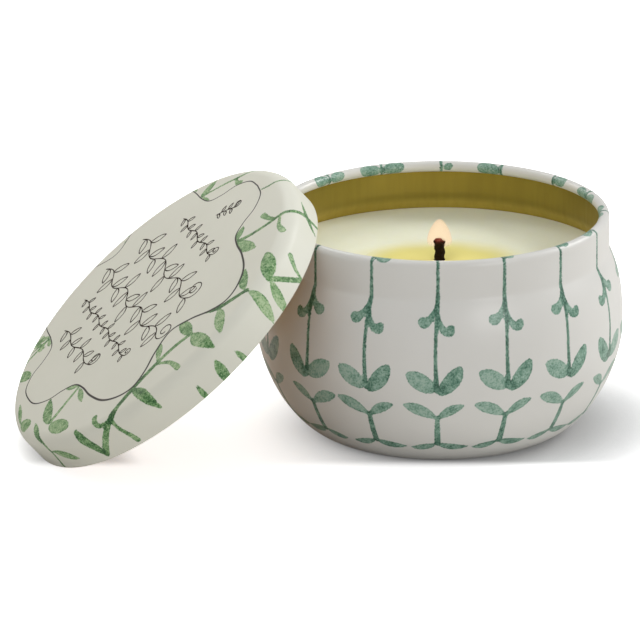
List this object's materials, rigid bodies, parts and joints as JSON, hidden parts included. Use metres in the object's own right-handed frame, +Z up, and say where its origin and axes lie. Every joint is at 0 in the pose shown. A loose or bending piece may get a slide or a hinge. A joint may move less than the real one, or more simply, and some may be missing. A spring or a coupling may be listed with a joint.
{
  "type": "candle tin",
  "caption": "Round bellied candle tin with a rolled rim, filled with wax round a central wick, with its shallow slip lid leaning against the rim.",
  "frame": {"origin": "centre of the tin's flat base, on the surface it stands on", "axes": "+Z up along the tin's axis, out of its mouth; the lid leans on the -X side; -Y is the front"},
  "size_m": [0.0986, 0.071, 0.0427],
  "materials": {
    "tin_paint": "cool white satin enamel on tinplate, printed with teal watercolour sprigs outside, gold food-can lacquer inside",
    "lid_paint": "warm cream satin enamel on tinplate, printed with leaf-green vines round a blank wavy panel, gold lacquer inside",
    "wax": "cream soy wax, waxy satin surface",
    "molten_wax": "clear pale yellow liquid wax",
    "cotton_wick": "braided cotton, burnt black above the wax with a red-brown ember end",
    "tinplate": "bare pressed tinplate",
    "adhesive_foam": "white double-sided foam adhesive"
  },
  "bodies": {
    "tin": {"tin_body": "tin_paint", "wax_fill": "wax", "melt_pool": "molten_wax", "wick": "cotton_wick", "wick_sustainer": "tinplate", "wick_sticker": "adhesive_foam"},
    "lid": {"lid_shell": "lid_paint"}
  },
  "joints": [
    {"name": "lid_lift", "type": "slide", "parent": "tin", "child": "lid", "axis": [-0.6295, -0.1675, 0.7587], "range_m": [0, 0.06]}
  ]
}
